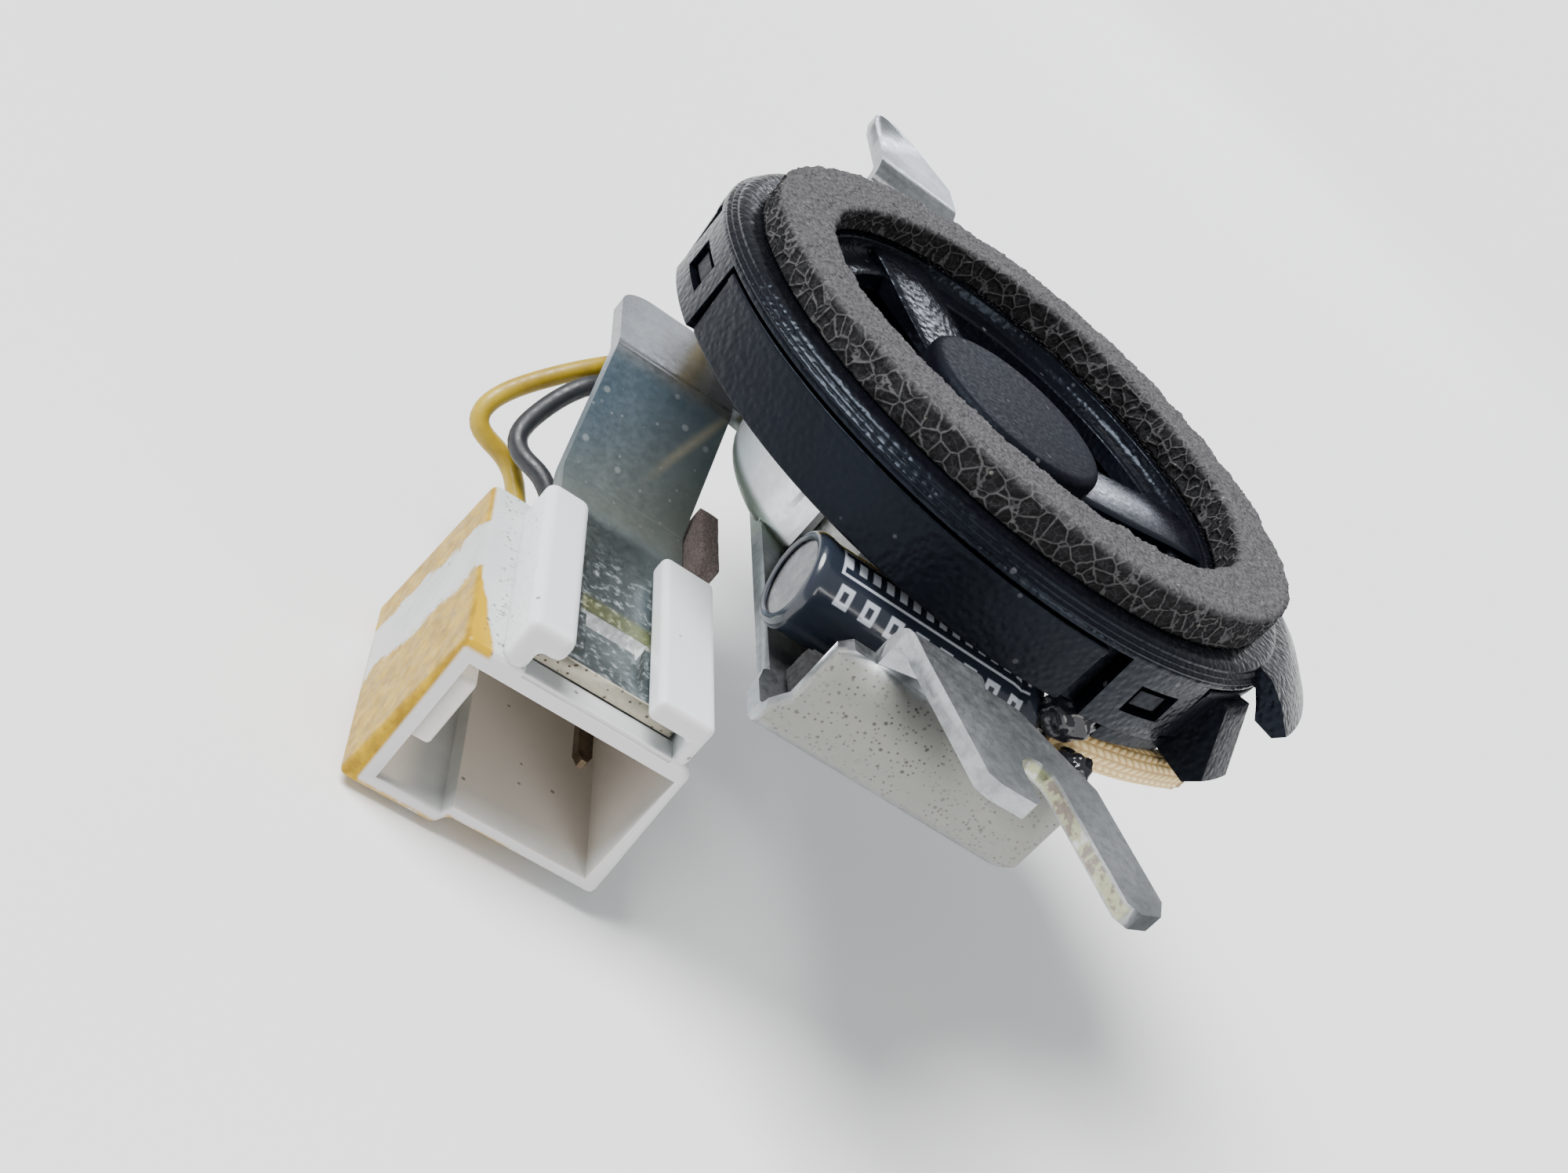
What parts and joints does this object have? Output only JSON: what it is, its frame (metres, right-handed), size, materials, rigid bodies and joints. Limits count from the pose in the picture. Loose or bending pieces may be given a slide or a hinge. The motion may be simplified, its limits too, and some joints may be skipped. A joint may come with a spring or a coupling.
{
  "type": "car tweeter",
  "caption": "Small round car tweeter with a foam gasket, on a folded metal bracket with a forked ear, with a clip-on two-pin socket, a capacitor and short leads.",
  "frame": {"origin": "on the speaker's axis, at the rear face of the bracket's base plate", "axes": "+Z along the speaker's axis towards the listener, +Y along the bracket from the forked ear to the plain ear, +X away from the connector"},
  "size_m": [0.058, 0.0912, 0.0375],
  "materials": {
    "black_plastic": "fine textured",
    "foam": "open-cell foam, grey-black",
    "steel": "plain turned steel",
    "zinc_plate": "dull zinc plating with handling marks",
    "magnet": "ground dark grey",
    "copper": "enamelled wire",
    "brass": "tinned brass, dull",
    "film": "thin satin film",
    "nylon": "milky moulded nylon, satin",
    "aluminium": "dull drawn aluminium",
    "shrink_sleeve": "glossy black",
    "rubber": "moulded",
    "braid": "varnished braid, tan",
    "yellow_insulation": "soft PVC, mustard yellow",
    "black_insulation": "soft PVC, grey-black",
    "felt": "pressed felt",
    "solder": "tinned"
  },
  "bodies": {
    "frame": {"front_cap": "black_plastic", "rear_housing": "black_plastic", "foam_gasket": "foam", "yoke_cup": "steel", "magnet": "magnet", "pole_plate": "steel", "damping_pad": "felt", "retainer_ring": "black_plastic", "terminal_tag_1": "brass", "terminal_tag_2": "brass", "solder_joint_1": "solder", "solder_joint_2": "solder", "mounting_bracket": "zinc_plate", "edge_pad": "felt", "foam_pad": "foam", "capacitor_can": "aluminium", "capacitor_sleeve": "shrink_sleeve", "capacitor_bung": "rubber", "capacitor_lead_1": "solder", "capacitor_lead_2": "solder", "braided_sleeve": "braid", "glue_bead_1": "shrink_sleeve", "glue_bead_2": "shrink_sleeve", "wire_yellow": "yellow_insulation", "wire_black": "black_insulation"},
    "diaphragm": {"dome_diaphragm": "film", "surround": "film", "voice_coil_former": "aluminium", "voice_coil": "copper", "coil_lead_1": "copper", "coil_lead_2": "copper"},
    "connector": {"connector_housing": "nylon", "connector_pin_1": "brass", "connector_pin_2": "brass"}
  },
  "joints": [
    {"name": "diaphragm_stroke", "type": "slide", "parent": "frame", "child": "diaphragm", "axis": [0, 0, 1], "range_m": [-0.0003, 0.0003], "stiffness_N_per_m": 600},
    {"name": "connector_slide", "type": "slide", "parent": "frame", "child": "connector", "axis": [0, -1, 0], "range_m": [0, 0.008]}
  ]
}
